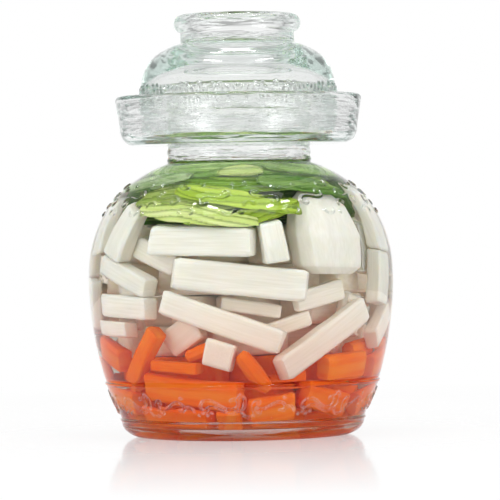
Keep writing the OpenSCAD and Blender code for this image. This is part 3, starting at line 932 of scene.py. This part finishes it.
studio = {
    "floorRadius": 1400,   # mm
    "floorSinks": 0.05,    # mm under the jar's foot, so that the two don't coincide
    "floorGlow": 0.78,     # share of the floor's white that is its own, for the eye
    "floorColour": "#f6f6f6",
    "gloss": 0.5,          # share of the floor's look that is its reflection, beside the jar
    "glossFades": (60, 470),   # mm from the jar's axis where the reflection starts to fade and is gone
    "whiteRuns": (430, 640),   # mm where the floor starts to run out into plain white and is there
    "roughness": (0.05, 0.08),
    "grain": 30,           # mm across the patches of that roughness
    "fill": 0.87,          # brightness of the even light from all round
    # Brightness of the world at a direction's component, from -1 to 1. What glass bends: by how far up it
    # comes from, with a grey band low over the horizon, times by how far from behind
    "bandsAbove": [(-1, 0.95), (-0.3, 0.5), (-0.05, 1), (0.03, 1),
                   (0.07, 0.42), (0.2, 0.44), (0.32, 0.95), (1, 1)],
    "bandsBeside": [(-1, 0.85), (-0.2, 0.6), (0.3, 0.5), (0.6, 0.8), (0.92, 1), (1, 1)],
    # What glass and floor mirror: by how far from behind
    "bandsMirrored": [(-1, 0.1), (0.0, 0.12), (0.5, 0.2), (0.8, 0.4), (0.97, 1), (1, 1)],
    "lampsAim": 0.12,      # m above the table
}
lamps = [
    # place and size in metres, power in watts; the last three only make highlights
    {"name": "lamp_top", "place": (0, -0.3, 1.3), "size": (1.0, 0.7), "power": 2.64},
    {"name": "lamp_left", "place": (-1.2, -0.9, 0.4), "size": (0.9, 0.6), "power": 5.28, "glints": False},
    {"name": "lamp_right", "place": (1.2, -0.9, 0.4), "size": (0.9, 0.6), "power": 5.28, "glints": False},
    {"name": "glint_0", "place": (-0.42, -0.35, 1.25), "size": (0.4, 0.05), "power": 1.4, "lights": False},
    {"name": "glint_1", "place": (0.45, -0.3, 1.25), "size": (0.4, 0.05), "power": 1.4, "lights": False},
    {"name": "glint_2", "place": (0, 0.25, 1.25), "size": (0.4, 0.05), "power": 1.4, "lights": False},
]
cameraPlace = {
    "distance": 2070, "height": 125.9, "side": 5.6, "aim": 109.3,   # mm
    "lens": 252, "lean": -0.9,                                      # mm, degrees
    "reach": 50,                                                    # m
}
bounces = {
    # Light crosses many sheets of glass here: moat, skirt, dome, neck and both sides of the body
    "max_bounces": 32,
    "diffuse_bounces": 12,
    "glossy_bounces": 32,
    "transmission_bounces": 32,
    "transparent_max_bounces": 64,
}


def paintedFloor():
    # Sheet of white acrylic, cast and polished: bright, with a soft reflection of what stands on it
    material, tree = newMaterial("acrylicSheetPolished")
    place = addNode(tree, "TexCoord")
    away = addNode(tree, "VectorMath", operation="LENGTH", in0=place.outputs["Object"])
    out = between(tree, away.outputs["Value"], studio["whiteRuns"])
    grain = addNode(tree, "TexNoise", Vector=place.outputs["Object"], Scale=1 / (studio["grain"] * mm),
                    Detail=3.0)
    rough = share(tree, grain.outputs["Fac"], 0.3, 0.7, *studio["roughness"])
    lit = addNode(tree, "BsdfDiffuse", Color=toLinear(studio["floorColour"]))
    white = addNode(tree, "Emission", Color=toLinear("#ffffff"), Strength=1.0)
    # Seen by the eye, straight or through glass, most of its white is its own, and its shadows are soft
    path = addNode(tree, "LightPath")
    looking = addNode(tree, "Math", operation="MAXIMUM", in0=path.outputs["Is Camera Ray"],
                      in1=path.outputs["Is Transmission Ray"])
    glow = share(tree, looking.outputs[0], 0, 1, 0, studio["floorGlow"])
    sheet = addNode(tree, "MixShader", in0=glow, in1=lit.outputs[0], in2=white.outputs[0])
    mirror = addNode(tree, "BsdfGlossy", Color=toLinear("#ffffff"), Roughness=rough)
    gloss = between(tree, away.outputs["Value"], studio["glossFades"], studio["gloss"], 0)
    near = addNode(tree, "MixShader", in0=gloss, in1=sheet.outputs[0], in2=mirror.outputs[0])
    floor = addNode(tree, "MixShader", in0=out, in1=near.outputs[0], in2=white.outputs[0])
    addNode(tree, "OutputMaterial", Surface=floor.outputs[0])
    return material


def buildFloor():
    bm = bmesh.new()
    bmesh.ops.create_circle(bm, cap_ends=True, segments=96, radius=studio["floorRadius"] * mm)
    mesh = bpy.data.meshes.new("floor")
    bm.to_mesh(mesh)
    bm.free()
    floor = addObject("floor", mesh)
    floor.location.z = -studio["floorSinks"] * mm
    floor.data.materials.append(paintedFloor())


def worldBands(tree, value, stops):
    # Grey levels along a direction's component
    ramp = addNode(tree, "ValToRGB", in0=share(tree, value, -1.0, 1.0))
    while len(ramp.color_ramp.elements) < len(stops):
        ramp.color_ramp.elements.new(0.5)
    for element, (place, level) in zip(ramp.color_ramp.elements, stops):
        element.position = (place + 1) / 2
        element.color = (level, level, level, 1)
    return ramp.outputs["Color"]


def buildWorld():
    # White for the camera, and even light on things. Glass bends white from behind it, and grey from its
    # sides and from low over the horizon; and it mirrors white from behind and a dim room from the front
    world = bpy.data.worlds.new("studio")
    world.use_nodes = True
    bpy.context.scene.world = world
    tree = world.node_tree
    tree.nodes.clear()
    way = addNode(tree, "TexCoord")
    part = addNode(tree, "SeparateXYZ", Vector=way.outputs["Generated"])
    above = worldBands(tree, part.outputs["Z"], studio["bandsAbove"])
    beside = worldBands(tree, part.outputs["Y"], studio["bandsBeside"])
    bent = addNode(tree, "Mix", data_type="RGBA", blend_type="MULTIPLY", in0=1.0, in6=above, in7=beside)
    mirrored = worldBands(tree, part.outputs["Y"], studio["bandsMirrored"])
    path = addNode(tree, "LightPath")
    # A ray that clear glass has bent counts as glossy too, so that its own mix comes after the mirrored one
    fill = studio["fill"]
    seen = blendColour(tree, path.outputs["Is Glossy Ray"], (fill, fill, fill, 1), mirrored)
    seen = blendColour(tree, path.outputs["Is Transmission Ray"], seen, bent.outputs[2])
    seen = blendColour(tree, path.outputs["Is Camera Ray"], seen, toLinear("#ffffff"))
    light = addNode(tree, "Background", Color=seen, Strength=1.0)
    addNode(tree, "OutputWorld", Surface=light.outputs[0])


def addLamp(name, place, size, power, lights=True, glints=True):
    # lights: it falls on things; glints: glossy surfaces mirror it
    lamp = bpy.data.lights.new(name, "AREA")
    lamp.shape = "RECTANGLE"
    lamp.size, lamp.size_y = size
    lamp.energy = power
    holder = bpy.data.objects.new(name, lamp)
    bpy.context.scene.collection.objects.link(holder)
    holder.visible_diffuse = holder.visible_transmission = lights
    holder.visible_glossy = glints
    holder.location = place
    aim = Vector((0, 0, studio["lampsAim"])) - Vector(place)
    holder.rotation_euler = aim.to_track_quat("-Z", "Y").to_euler()


def buildCamera():
    place = cameraPlace
    data = bpy.data.cameras.new("camera")
    data.lens = place["lens"]
    data.clip_end = place["reach"]
    camera = bpy.data.objects.new("camera", data)
    bpy.context.scene.collection.objects.link(camera)
    at = Vector((place["side"], -place["distance"], place["height"])) * mm
    aim = Vector((place["side"], 0, place["aim"])) * mm
    camera.location = at
    facing = (aim - at).to_track_quat("-Z", "Y").to_matrix().to_4x4()
    lean = math.radians(place["lean"])
    camera.rotation_euler = (facing @ Matrix.Rotation(lean, 4, "Z")).to_euler()
    bpy.context.scene.camera = camera


buildFloor()
buildWorld()
for lamp in lamps:
    addLamp(**lamp)
buildCamera()
bpy.context.scene.view_settings.view_transform = "Standard"
for kind, count in bounces.items():
    setattr(bpy.context.scene.cycles, kind, count)
print("studio ready")
